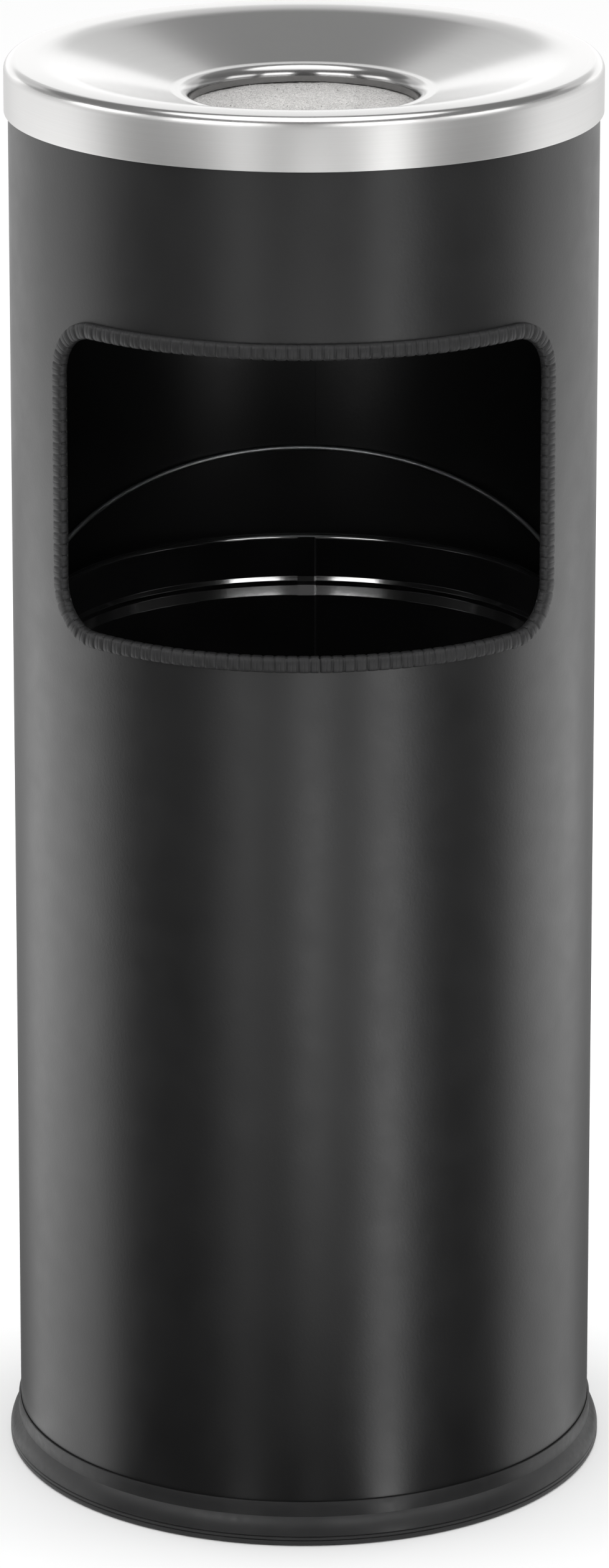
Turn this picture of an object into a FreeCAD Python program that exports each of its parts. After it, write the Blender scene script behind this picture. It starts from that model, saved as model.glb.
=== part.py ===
"""Free-standing ashtray bin: a round steel column with a side opening for waste and a sand ashtray on top.

From the outside in, the object is a rolled steel shell on a plastic floor ring, with a segmented edge
trim round the opening.  A stainless lid with a dished centre and a hole caps it.  Under the lid an ash
pan full of sand hangs by its flange on the shell's top edge.  A steel bucket with a bail handle stands on
the shell's floor and takes the waste.

Frame: millimetres, +Z up, origin on the floor at the centre of the column, opening towards -Y.
"""
import math
import os

import FreeCAD
import Part

from FreeCAD import Placement, Rotation, Vector
from Sketcher import Constraint

OUT_FOLDER = "parts"
SHEET_NAME = "Dimensions"
SAME = 1e-3  # lengths closer than this count as the same
ZERO = 1e-9  # a size or a slope smaller than this counts as nothing

# ---------------------------------------------------------------------------------------------------
# Driving dimensions: alias, millimetres (or degrees), what it is
# ---------------------------------------------------------------------------------------------------
DIMENSIONS = [
    ("overall_height", 620.0, "floor to the lid's flat rim"),
    ("shell_radius", 125.25, "outside of the rolled shell"),
    ("shell_steel", 0.8, "sheet of the shell and of its floor"),
    ("shell_foot", 3.0, "height of the shell's lower edge, standing in the floor ring"),
    ("shell_floor_top", 13.8, "height of the floor that the bucket stands on"),
    ("floor_flange", 8.8, "depth of the floor disc with its turned-down flange"),
    ("floor_bend", 2.0, "outer rounding of the shell floor's bend"),
    ("fit_gap", 0.1, "gap between pieces that are pushed or set together"),
    ("cut_reach", 10.0, "how far a cutting block reaches past the sheet it cuts"),
    ("cut_margin", 1.0, "how far a slot is cut past the end of the rubber or steel that it opens"),
    ("weld_start", 0.3, "gap between the shell's floor and the seam weld's lower end"),
    ("weld_angle", 1.27, "width of the shell's seam weld, in degrees"),
    ("weld_centre", 1.65, "seam weld's place, in degrees from the back centre towards +X"),
    ("weld_height", 0.35, "how far the weld stands off the shell's inner face"),
    ("opening_angle", 107.0, "width of the waste opening, in degrees"),
    ("opening_low", 391.5, "lower cut edge of the opening"),
    ("opening_high", 520.2, "upper cut edge of the opening"),
    ("opening_corner", 20.0, "corner radius of the opening"),
    ("trim_over", 5.4, "how far the edge trim reaches over the sheet"),
    ("trim_end", 1.6, "trim beyond the cut edge, inside the opening"),
    ("trim_outside", 2.5, "thickness of the trim's outer lip"),
    ("trim_inside", 1.8, "thickness of the trim's inner lip"),
    ("trim_joint_angle", 2.9, "butt joint of the trim, in degrees from the bottom centre towards +X"),
    ("trim_joint_gap", 0.3, "gap in the butt joint"),
    ("core_steel", 0.5, "steel carrier inside the trim"),
    ("core_cover", 0.9, "rubber between the sheet and the carrier, outside"),
    ("core_cover_back", 0.6, "rubber between the sheet and the carrier, inside"),
    ("core_web", 0.35, "carrier's web from the cut edge"),
    ("trim_soft", 0.6, "rounding of the trim's edges"),
    ("ring_radius", 129.9, "floor ring at its widest"),
    ("ring_height", 18.6, "floor ring, outside"),
    ("ring_lip", 126.25, "outer radius of the ring's upright top lip"),
    ("ring_lip_low", 13.6, "height where the lip runs into the ring's round shoulder"),
    ("ring_belly", 5.0, "height of the ring's widest level"),
    ("ring_shoulder", 12.1, "radius of the round shoulder"),
    ("ring_inner", 121.6, "inside of the ring"),
    ("ring_inner_height", 10.0, "height of the ring's inner wall"),
    ("ring_foot", 1.1, "bevel of the ring's lower edge"),
    ("ring_groove", 0.45, "width and depth of the fine grooves in the ring's foot"),
    ("groove_lower", 2.6, "lower edge of the lower groove"),
    ("groove_upper", 4.2, "lower edge of the upper groove"),
    ("ring_fit", 0.15, "gap between the shell and the ring's lip"),
    ("ring_channel", 123.35, "inner wall of the channel that the shell stands in"),
    ("ring_lip_edge", 0.3, "rounding of the ring's top edge"),
    ("lid_radius", 127.0, "outside of the lid's skirt"),
    ("lid_steel", 0.8, "stainless sheet of the lid"),
    ("lid_skirt", 22.4, "depth of the skirt"),
    ("lid_corner", 3.2, "rounding between the rim and the skirt"),
    ("dish_break", 108.68, "radius where the flat rim would meet the straight dish slope"),
    ("dish_rounding", 48.0, "rounding between the flat rim and the dish"),
    ("dish_foot", 56.0, "radius where the slope meets the lip's level ring"),
    ("dish_depth", 14.1, "depth of the level ring below the rim"),
    ("neck_radius", 48.5, "clear radius of the ash hole"),
    ("neck_rounding", 5.0, "rounding of the lip into the neck"),
    ("neck_depth", 21.2, "depth of the neck's lower edge below the rim"),
    ("pan_radius", 120.0, "outside of the ash pan's wall"),
    ("pan_flange", 124.9, "outer radius of the flange that hangs on the shell"),
    ("flange_edge", 0.75, "rounding of the flange's outer edge"),
    ("pan_steel", 0.8, "galvanised sheet of the pan"),
    ("pan_floor", 555.0, "height of the pan's underside"),
    ("pan_corner", 8.0, "rounding of the pan's lower edge"),
    ("pan_bend", 1.2, "rounding between the pan's wall and its flange"),
    ("sand_level", 598.3, "height of the levelled sand"),
    ("bucket_steel", 0.5, "sheet of the bucket"),
    ("bucket_foot", 14.0, "height of the bucket's lower edge"),
    ("bucket_floor", 18.5, "height of the bucket's floor, top side"),
    ("bucket_lower", 108.4, "outer radius of the bucket below the step"),
    ("bucket_upper", 110.0, "outer radius of the bucket above the step"),
    ("step_low", 352.2, "lower end of the step"),
    ("step_high", 356.6, "upper end of the step"),
    ("bead_mid", 358.6, "middle height of the bead over the step"),
    ("bead_half", 2.0, "half the height of that bead"),
    ("bead_depth", 1.0, "how far the bead is pressed inwards"),
    ("rim_height", 380.0, "top of the bucket's rolled rim"),
    ("rim_wire", 0.8, "radius of the wire in the rolled rim"),
    ("rim_play", 0.05, "gap between that wire and the roll round it"),
    ("bucket_floor_bend", 1.5, "outer rounding of the bucket floor's bend"),
    ("lap_step", 0.4, "thickness of the bucket's lap seam"),
    ("lap_angle", 4.2, "width of the bucket's lap seam, in degrees"),
    ("lap_edge", 2.65, "seam's edge, in degrees from the back centre towards +X"),
    ("bail_wire", 1.1, "radius of the bail handle's wire"),
    ("bail_half_width", 118.8, "centre line of the bail's legs from the middle"),
    ("bail_reach", 132.4, "centre line of the bail's top from the pivot axis"),
    ("bail_corner", 3.0, "bend between the leg and the pin"),
    ("bail_lean", 67.6, "lean of the bail from upright against the back wall, in degrees"),
    ("bail_head", 2.0, "radius of the upset head on the pin"),
    ("bail_head_length", 1.0, "length of the upset head"),
    ("bail_head_at", 111.5, "end of the upset head, from the middle"),
    ("pivot_height", 366.0, "height of the bail's pivot axis"),
    ("ear_steel", 1.0, "sheet of the handle ears"),
    ("ear_stand", 4.2, "how far the ear's bridge stands off the bucket"),
    ("ear_bridge", 6.0, "half width of the ear's bridge"),
    ("ear_flange", 15.0, "half width of the ear over its flanges"),
    ("ear_low", 361.2, "lower edge of the ears"),
    ("ear_height", 12.6, "height of the ears"),
    ("rivet_shank", 1.5, "radius of the rivets' shanks"),
    ("rivet_head", 2.6, "radius of the rivets' heads"),
    ("rivet_head_height", 0.9, "height of the rivets' heads"),
    ("rivet_slack", 0.4, "gap between the rivets' heads and the sheets they hold"),
    ("rivet_spread", 10.6, "rivet from the ear's middle, along the bucket's wall"),
]


class Size:
    """A length that carries its number and the spreadsheet expression it comes from."""

    def __init__(self, value, text):
        self.value = value
        self.text = text

    def _join(self, other, sign, value):
        return Size(value, f"({self.text} {sign} {as_size(other).text})")

    def __add__(self, other):
        return self._join(other, "+", self.value + as_size(other).value)

    def __sub__(self, other):
        return self._join(other, "-", self.value - as_size(other).value)

    def __mul__(self, other):
        return self._join(other, "*", self.value * as_size(other).value)

    def __truediv__(self, other):
        return self._join(other, "/", self.value / as_size(other).value)


def as_size(number):
    return number if isinstance(number, Size) else Size(float(number), f"{float(number)}")


class Dimensions:
    """The document's spreadsheet, with one attribute for each alias."""

    def __init__(self, doc):
        sheet = doc.addObject("Spreadsheet::Sheet", SHEET_NAME)
        for row, (alias, value, meaning) in enumerate(DIMENSIONS, start=1):
            sheet.set(f"A{row}", alias)
            sheet.set(f"B{row}", str(value))
            sheet.set(f"C{row}", meaning)
            sheet.setAlias(f"B{row}", alias)
            setattr(self, alias, Size(value, f"{SHEET_NAME}.{alias}"))
        doc.recompute()


# ---------------------------------------------------------------------------------------------------
# Building blocks
# ---------------------------------------------------------------------------------------------------
def bind(obj, path, size):
    """Ties a property to the spreadsheet."""
    obj.setExpression(path, as_size(size).text)


def origin_feature(body, role):
    return next(f for f in body.Origin.OriginFeatures if f.Role == role)


def new_body(doc, name):
    body = doc.addObject("PartDesign::Body", name)
    body.Label = name
    return body


def new_sketch(body, name, role):
    sketch = body.newObject("Sketcher::SketchObject", name)
    sketch.AttachmentSupport = [(origin_feature(body, role), "")]
    sketch.MapMode = "FlatFace"
    return sketch


def place_point(sketch, geometry, end, point):
    """Pins one end of a sketch line to a pair of sizes, measured from the sketch's origin."""
    for axis, kind, size in ((-2, "DistanceX", point[0]), (-1, "DistanceY", point[1])):
        size = as_size(size)
        if abs(size.value) < ZERO:
            sketch.addConstraint(Constraint("PointOnObject", geometry, end, axis))
            continue
        index = sketch.addConstraint(Constraint(kind, -1, 1, geometry, end, size.value))
        bind(sketch, f"Constraints[{index}]", size)


def outline(sketch, points, arcs=None):
    """Draws a closed outline through points.

    arcs maps the number of a side to its radius and to a point on its centre's side.
    """
    arcs = arcs or {}
    corners = [Vector(as_size(x).value, as_size(y).value, 0) for x, y in points]
    sides = len(corners)
    for side in range(sides):
        start, end = corners[side], corners[(side + 1) % sides]
        if side in arcs:
            radius, towards = arcs[side]
            sketch.addGeometry(arc_between(start, end, radius.value, towards))
        else:
            sketch.addGeometry(Part.LineSegment(start, end))
    ends = [arc_ends(sketch, side, corners[side]) for side in range(sides)]
    for side in range(sides):
        following = (side + 1) % sides
        sketch.addConstraint(Constraint("Coincident", side, ends[side][1], following, ends[following][0]))
        place_point(sketch, side, ends[side][0], points[side])
    for side, (radius, _) in arcs.items():
        index = sketch.addConstraint(Constraint("Radius", side, radius.value))
        bind(sketch, f"Constraints[{index}]", radius)


def arc_between(start, end, radius, towards):
    """The shorter arc of that radius from start to end whose centre lies on the side of towards."""
    chord = end - start
    height = math.sqrt(radius**2 - (chord.Length / 2) ** 2)
    across = Vector(-chord.y, chord.x, 0).normalize()
    half_way = (start + end) * 0.5
    if across.dot(Vector(*towards, 0) - half_way) < 0:
        across = across * -1
    centre = half_way + across * height
    crown = centre - across * radius
    return Part.Arc(start, crown, end)


def arc_ends(sketch, side, start):
    """Which end of a sketch edge is its start and which its end, as (1, 2) or (2, 1)."""
    first = sketch.getPoint(side, 1)
    second = sketch.getPoint(side, 2)
    return (1, 2) if first.distanceToPoint(start) < second.distanceToPoint(start) else (2, 1)


def revolve(doc, name, points, arcs=None, angle=None, from_angle=0.0):
    """A body turned about Z from an outline of (radius, height) pairs."""
    body = new_body(doc, name)
    sketch = new_sketch(body, f"{name}_profile", "XZ_Plane")
    outline(sketch, points, arcs)
    turned = body.newObject("PartDesign::Revolution", f"{name}_turned")
    turned.Profile = sketch
    turned.ReferenceAxis = (sketch, ["V_Axis"])
    if angle is not None:
        turned.Midplane = True
        bind(turned, "Angle", angle)
    doc.recompute()
    body.Placement = Placement(Vector(), Rotation(Vector(0, 0, 1), from_angle))
    return body


def circle_edges(shape, wanted):
    """Names of the round edges about Z with one of the wanted (radius, height) pairs."""
    names = []
    for number, edge in enumerate(shape.Edges, start=1):
        if not isinstance(edge.Curve, Part.Circle):
            continue
        for radius, height in wanted:
            here = (as_size(radius).value, as_size(height).value)
            if math.dist((edge.Curve.Radius, edge.Curve.Center.z), here) < SAME:
                names.append(f"Edge{number}")
    return names


def round_off(doc, body, name, radius, wanted):
    """Fillets the body's round edges at the wanted (radius, height) pairs."""
    base = body.Tip
    fillet = body.newObject("PartDesign::Fillet", f"{body.Name}_{name}")
    fillet.Base = (base, circle_edges(base.Shape, wanted))
    bind(fillet, "Radius", radius)
    doc.recompute()
    return fillet


def feature(doc, name, shape):
    """A Part::Feature that holds a shape made with Part's own functions."""
    made = doc.addObject("Part::Feature", name)
    made.Label = name
    made.Shape = shape
    return made


# ---------------------------------------------------------------------------------------------------
# Shell
# ---------------------------------------------------------------------------------------------------
def shell_top(d):
    """Height of the shell's upper edge, under the pan's flange and the lid."""
    return d.overall_height - d.lid_steel - d.pan_steel - d.fit_gap * 2


def wedge(doc, d, name, grow=0.0):
    """A thick block over the waste opening, its outline grown or shrunk all round."""
    grow = as_size(grow)
    degrees_per_length = as_size(360 / math.pi) / d.shell_radius
    inner, outer = d.shell_radius - d.cut_reach, d.shell_radius + d.cut_reach
    block = revolve(doc, name, [
        (inner, d.opening_low - grow),
        (outer, d.opening_low - grow),
        (outer, d.opening_high + grow),
        (inner, d.opening_high + grow),
    ], angle=d.opening_angle + grow * degrees_per_length, from_angle=-90.0)
    square = block.Tip
    corners = [
        f"Edge{number}"
        for number, edge in enumerate(square.Shape.Edges, start=1)
        if isinstance(edge.Curve, Part.Line) and abs(edge.tangentAt(edge.FirstParameter).z) < ZERO
    ]
    rounding = block.newObject("PartDesign::Fillet", f"{name}_corners")
    rounding.Base = (square, corners)
    bind(rounding, "Radius", d.opening_corner + grow)
    doc.recompute()
    return block


def subtract(doc, name, base, tool):
    """One document object cut by another."""
    cut = doc.addObject("Part::Cut", name)
    cut.Label = name
    cut.Base = base
    cut.Tool = tool
    doc.recompute()
    return cut


def make_outer_shell(doc, d):
    """Rolled tube with the waste opening cut through it square to its face."""
    tube = revolve(doc, "shell_tube", [
        (d.shell_radius - d.shell_steel, d.shell_foot),
        (d.shell_radius, d.shell_foot),
        (d.shell_radius, shell_top(d)),
        (d.shell_radius - d.shell_steel, shell_top(d)),
    ])
    cutter = wedge(doc, d, "opening_cutter")
    return subtract(doc, "outer_shell", tube, cutter)


def make_seam_weld(doc, d):
    """Narrow weld down the inside of the shell, at the back."""
    inner = d.shell_radius - d.shell_steel
    return revolve(doc, "shell_seam_weld", [
        (inner - d.weld_height, d.shell_floor_top + d.weld_start),
        (inner, d.shell_floor_top + d.weld_start),
        (inner, shell_top(d)),
        (inner - d.weld_height, shell_top(d)),
    ], angle=d.weld_angle, from_angle=90.0 - d.weld_centre.value)


def make_shell_floor(doc, d):
    """Pressed disc with a turned-down flange, spot-welded inside the tube."""
    outer = d.shell_radius - d.shell_steel - d.fit_gap
    low = d.shell_floor_top - d.floor_flange
    under = d.shell_floor_top - d.shell_steel
    body = revolve(doc, "shell_floor", [
        (0, under),
        (outer - d.shell_steel, under),
        (outer - d.shell_steel, low),
        (outer, low),
        (outer, d.shell_floor_top),
        (0, d.shell_floor_top),
    ])
    round_off(doc, body, "outer_bend", d.floor_bend, [(outer, d.shell_floor_top)])
    inner_bend = d.floor_bend - d.shell_steel
    round_off(doc, body, "inner_bend", inner_bend, [(outer - d.shell_steel, under)])
    return body


def make_floor_ring(doc, d):
    """Plastic ring round the foot: an upright lip, a round shoulder, two fine grooves and a channel."""
    wall = d.shell_radius + d.ring_fit
    outside = []
    for low in (d.groove_lower, d.groove_upper):
        outside += [
            (d.ring_radius, low),
            (d.ring_radius - d.ring_groove, low + d.ring_groove / 2),
            (d.ring_radius, low + d.ring_groove),
        ]
    points = [
        (d.ring_inner, 0),
        (d.ring_radius - d.ring_foot, 0),
        (d.ring_radius, d.ring_foot),
        *outside,
        (d.ring_radius, d.ring_belly),
        (d.ring_lip, d.ring_lip_low),
        (d.ring_lip, d.ring_height),
        (wall, d.ring_height),
        (wall, d.shell_foot),
        (d.ring_channel, d.shell_foot),
        (d.ring_channel, d.ring_inner_height),
        (d.ring_inner, d.ring_inner_height),
    ]
    shoulder = points.index((d.ring_radius, d.ring_belly))
    arcs = {shoulder: (d.ring_shoulder, (0, 0))}
    body = revolve(doc, "floor_ring", points, arcs)
    round_off(doc, body, "lip_edge", d.ring_lip_edge, [(d.ring_lip, d.ring_height)])
    return body


# ---------------------------------------------------------------------------------------------------
# Edge trim: a rubber profile on a steel carrier, run round the opening's cut edge
# ---------------------------------------------------------------------------------------------------
def frame_round_opening(doc, d, name, radii, reach):
    """A frame between two radii, from inside the opening (negative reach) to over the sheet."""
    outside = wedge(doc, d, f"{name}_outline", reach[1])
    hollow = wedge(doc, d, f"{name}_hollow", reach[0])
    window = subtract(doc, f"{name}_window", outside, hollow)
    low, high = d.opening_low - d.cut_reach, d.opening_high + d.cut_reach
    tube = revolve(doc, f"{name}_tube", [
        (radii[0], low), (radii[1], low), (radii[1], high), (radii[0], high),
    ])
    frame = doc.addObject("Part::Common", name)
    frame.Base = tube
    frame.Tool = window
    doc.recompute()
    return frame


def make_trim_joint(doc, d):
    """Narrow block that opens the butt joint at the bottom of the opening."""
    joint = doc.addObject("Part::Box", "trim_joint")
    bind(joint, "Length", d.trim_joint_gap)
    bind(joint, "Width", d.cut_reach * 2)
    bind(joint, "Height", d.cut_reach * 2)
    turn = math.radians(d.trim_joint_angle.value - 90)
    radius = (d.shell_radius + d.cut_reach).value
    joint.Placement = Placement(
        Vector(radius * math.cos(turn), radius * math.sin(turn), (d.opening_low - d.cut_reach).value),
        Rotation(Vector(0, 0, 1), d.trim_joint_angle.value),
    )
    doc.recompute()
    return joint


def make_trim(doc, d):
    """The rubber profile and the U-shaped steel carrier inside it."""
    outer, inner = d.shell_radius, d.shell_radius - d.shell_steel
    slack = d.fit_gap / 2
    out, back = outer + d.trim_outside, inner - d.trim_inside
    leg_out = outer + d.core_cover
    leg_back = inner - d.core_cover_back
    web = d.core_web
    tip = d.trim_over - d.core_cover
    joint = make_trim_joint(doc, d)

    carrier = subtract(
        doc, "carrier_ring",
        frame_round_opening(
            doc, d, "carrier_block", (leg_back - d.core_steel, leg_out + d.core_steel),
            ((web + d.core_steel) * -1, tip),
        ),
        frame_round_opening(
            doc, d, "carrier_channel", (leg_back, leg_out), (web * -1, tip + d.cut_margin)
        ),
    )
    block = frame_round_opening(
        doc, d, "trim_block", (back, out), (d.trim_end * -1, d.trim_over)
    )
    soft = doc.addObject("Part::Fillet", "trim_soft_block")
    soft.Base = block
    soft.Edges = [
        (number, d.trim_soft.value, d.trim_soft.value)
        for number, edge in enumerate(block.Shape.Edges, start=1)
        if not radial(edge)
    ]
    doc.recompute()
    slotted = subtract(
        doc, "trim_slotted", soft,
        frame_round_opening(
            doc, d, "sheet_slot", (inner - slack, outer + slack),
            (slack * -1, d.trim_over + d.cut_margin),
        ),
    )
    hollowed = subtract(doc, "trim_hollowed", slotted, carrier)
    return [
        subtract(doc, "edge_trim", hollowed, joint),
        subtract(doc, "trim_carrier", carrier, joint),
    ]


def radial(edge):
    """Whether an edge runs towards the column's axis."""
    ends = [vertex.Point for vertex in edge.Vertexes]
    radii = [math.hypot(point.x, point.y) for point in ends]
    return len(ends) == 2 and abs(radii[0] - radii[1]) > SAME


# ---------------------------------------------------------------------------------------------------
# Lid, ash pan and sand
# ---------------------------------------------------------------------------------------------------
def make_lid(doc, d):
    """Stainless lid: skirt, flat rim, dished centre and a lip rolled into the ash hole."""
    top = d.overall_height
    slope = math.atan2(d.dish_depth.value, d.dish_break.value - d.dish_foot.value)
    mitre = d.lid_steel * math.tan(slope / 2)
    steel = d.lid_steel
    points = [
        (d.lid_radius, top),
        (d.lid_radius, top - d.lid_skirt),
        (d.lid_radius - steel, top - d.lid_skirt),
        (d.lid_radius - steel, top - steel),
        (d.dish_break + mitre, top - steel),
        (d.dish_foot + mitre, top - d.dish_depth - steel),
        (d.neck_radius + steel, top - d.dish_depth - steel),
        (d.neck_radius + steel, top - d.neck_depth),
        (d.neck_radius, top - d.neck_depth),
        (d.neck_radius, top - d.dish_depth),
        (d.dish_foot, top - d.dish_depth),
        (d.dish_break, top),
    ]
    body = revolve(doc, "ash_lid", points)
    round_off(doc, body, "rim_outside", d.lid_corner, [points[0]])
    round_off(doc, body, "rim_inside", d.lid_corner - steel, [points[3]])
    round_off(doc, body, "dish_top", d.dish_rounding, [points[11]])
    round_off(doc, body, "dish_under", d.dish_rounding - steel, [points[4]])
    round_off(doc, body, "lip_top", d.neck_rounding, [points[9]])
    round_off(doc, body, "lip_under", d.neck_rounding - steel, [points[6]])
    return body


def make_ash_pan(doc, d):
    """Galvanised pan that hangs by its flange on the shell's upper edge."""
    flange_top = d.overall_height - d.lid_steel - d.fit_gap
    flange_under = flange_top - d.pan_steel
    inner = d.pan_radius - d.pan_steel
    points = [
        (0, d.pan_floor),
        (d.pan_radius, d.pan_floor),
        (d.pan_radius, flange_under),
        (d.pan_flange, flange_under),
        (d.pan_flange, flange_top),
        (inner, flange_top),
        (inner, d.pan_floor + d.pan_steel),
        (0, d.pan_floor + d.pan_steel),
    ]
    body = revolve(doc, "ash_pan", points)
    round_off(doc, body, "corner_outside", d.pan_corner, [points[1]])
    round_off(doc, body, "corner_inside", d.pan_corner - d.pan_steel, [points[6]])
    round_off(doc, body, "flange_bend", d.pan_bend, [points[5]])
    round_off(doc, body, "flange_edge", d.flange_edge, [points[4]])
    return body


def make_sand(doc, d):
    """Levelled quartz sand that fills the pan up to just under the lid's neck."""
    low = d.pan_floor + d.pan_steel + d.fit_gap
    outer = d.pan_radius - d.pan_steel - d.fit_gap
    points = [(0, low), (outer, low), (outer, d.sand_level), (0, d.sand_level)]
    body = revolve(doc, "quartz_sand", points)
    round_off(doc, body, "corner", d.pan_corner - d.pan_steel, [points[1]])
    return body


# ---------------------------------------------------------------------------------------------------
# Bucket
# ---------------------------------------------------------------------------------------------------
def bucket_inside(d, inset=0.0):
    """(radius, height) pairs up the bucket's inner face, moved inwards by inset."""
    lower = d.bucket_lower - d.bucket_steel - inset
    upper = d.bucket_upper - d.bucket_steel - inset
    return [
        (lower, d.step_low),
        (upper, d.step_high),
        (upper - d.bead_depth, d.bead_mid),
        (upper, d.bead_mid + d.bead_half),
    ]


def make_bucket_wall(doc, d):
    """Round wall with a step and a bead under a rim that is rolled outwards round a wire."""
    sheet = d.bucket_steel
    lower, upper = d.bucket_lower, d.bucket_upper
    curl = d.rim_wire + d.rim_play
    centre = (upper + curl, d.rim_height - curl - sheet)
    inside = bucket_inside(d)
    outside = [(radius + sheet, height) for radius, height in reversed(inside)]
    points = [
        (lower - sheet, d.bucket_foot),
        *inside,
        (upper - sheet, centre[1]),
        (centre[0], d.rim_height),
        (centre[0] + curl + sheet, centre[1]),
        (centre[0], centre[1] - curl - sheet),
        (centre[0], centre[1] - curl),
        (centre[0] + curl, centre[1]),
        (centre[0], centre[1] + curl),
        (upper, centre[1]),
        *outside,
        (lower, d.bucket_foot),
    ]
    middle = (centre[0].value, centre[1].value)
    roll_outside = 1 + len(inside)
    roll_inside = roll_outside + 4
    arcs = {}
    for quarter in range(3):
        arcs[roll_outside + quarter] = (curl + sheet, middle)
        arcs[roll_inside + quarter] = (curl, middle)
    body = revolve(doc, "bucket_wall", points, arcs)
    for side in (-1, 1):
        for along in (-1, 1):
            drill_towards_x(doc, body, d, side, along)
    return body


def drill_towards_x(doc, body, d, side, along):
    """One rivet hole through the bucket's wall, square to the YZ plane."""
    name = f"rivet_hole_{'right' if side > 0 else 'left'}_{'back' if along > 0 else 'front'}"
    sketch = new_sketch(body, f"{name}_sketch", "YZ_Plane")
    middle = (along * d.rivet_spread.value, (d.ear_low + d.ear_height / 2).value)
    sketch.addGeometry(Part.Circle(Vector(*middle, 0), Vector(0, 0, 1), d.rivet_shank.value))
    index = sketch.addConstraint(Constraint("Radius", 0, d.rivet_shank.value))
    bind(sketch, f"Constraints[{index}]", d.rivet_shank + d.fit_gap / 2)
    index = sketch.addConstraint(Constraint("DistanceX", -1, 1, 0, 3, middle[0]))
    bind(sketch, f"Constraints[{index}]", d.rivet_spread * along)
    index = sketch.addConstraint(Constraint("DistanceY", -1, 1, 0, 3, middle[1]))
    bind(sketch, f"Constraints[{index}]", d.ear_low + d.ear_height / 2)
    hole = body.newObject("PartDesign::Pocket", name)
    hole.Profile = sketch
    hole.Reversed = side > 0
    bind(hole, "Length", d.bucket_upper + d.cut_reach)
    doc.recompute()


def make_bucket_floor(doc, d):
    """Disc with a turned-down flange, set inside the bucket's lower edge."""
    outer = d.bucket_lower - d.bucket_steel - d.fit_gap / 2
    sheet = d.bucket_steel
    body = revolve(doc, "bucket_floor", [
        (0, d.bucket_floor - sheet),
        (outer - sheet, d.bucket_floor - sheet),
        (outer - sheet, d.bucket_foot),
        (outer, d.bucket_foot),
        (outer, d.bucket_floor),
        (0, d.bucket_floor),
    ])
    round_off(doc, body, "outer_bend", d.bucket_floor_bend, [(outer, d.bucket_floor)])
    inner_bend = d.bucket_floor_bend - sheet
    round_off(doc, body, "inner_bend", inner_bend, [(outer - sheet, d.bucket_floor - sheet)])
    return body


def make_bucket_lap(doc, d):
    """Overlap of the rolled sheet, seen inside the bucket as a strip with a fine step."""
    curl = d.rim_wire + d.rim_play
    top = d.rim_height - curl - d.bucket_steel
    low = d.bucket_floor + d.fit_gap
    back = bucket_inside(d)
    front = bucket_inside(d, inset=d.lap_step)
    lower = d.bucket_lower - d.bucket_steel
    upper = d.bucket_upper - d.bucket_steel
    points = [
        (lower - d.lap_step, low), *front, (upper - d.lap_step, top),
        (upper, top), *reversed(back), (lower, low),
    ]
    middle = 90.0 - d.lap_edge.value + d.lap_angle.value / 2
    return revolve(doc, "bucket_lap_seam", points, angle=d.lap_angle, from_angle=middle)


def make_rim_wire(doc, d):
    """Stiffening wire rolled into the bucket's rim."""
    wire = doc.addObject("Part::Torus", "bucket_rim_wire")
    wire.Label = "bucket_rim_wire"
    curl = d.rim_wire + d.rim_play
    bind(wire, "Radius1", d.bucket_upper + curl)
    bind(wire, "Radius2", d.rim_wire)
    wire.Placement.Base = Vector(0, 0, (d.rim_height - curl - d.bucket_steel).value)
    bind(wire, "Placement.Base.z", d.rim_height - curl - d.bucket_steel)
    doc.recompute()
    return wire


# ---------------------------------------------------------------------------------------------------
# Bail handle, its ears and rivets
# ---------------------------------------------------------------------------------------------------
def wall_drop(d, across):
    """How far the bucket's round wall falls back, at a distance across from the ear's middle."""
    return as_size(math.sqrt(d.bucket_upper.value**2 - across.value**2) - d.bucket_upper.value)


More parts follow.
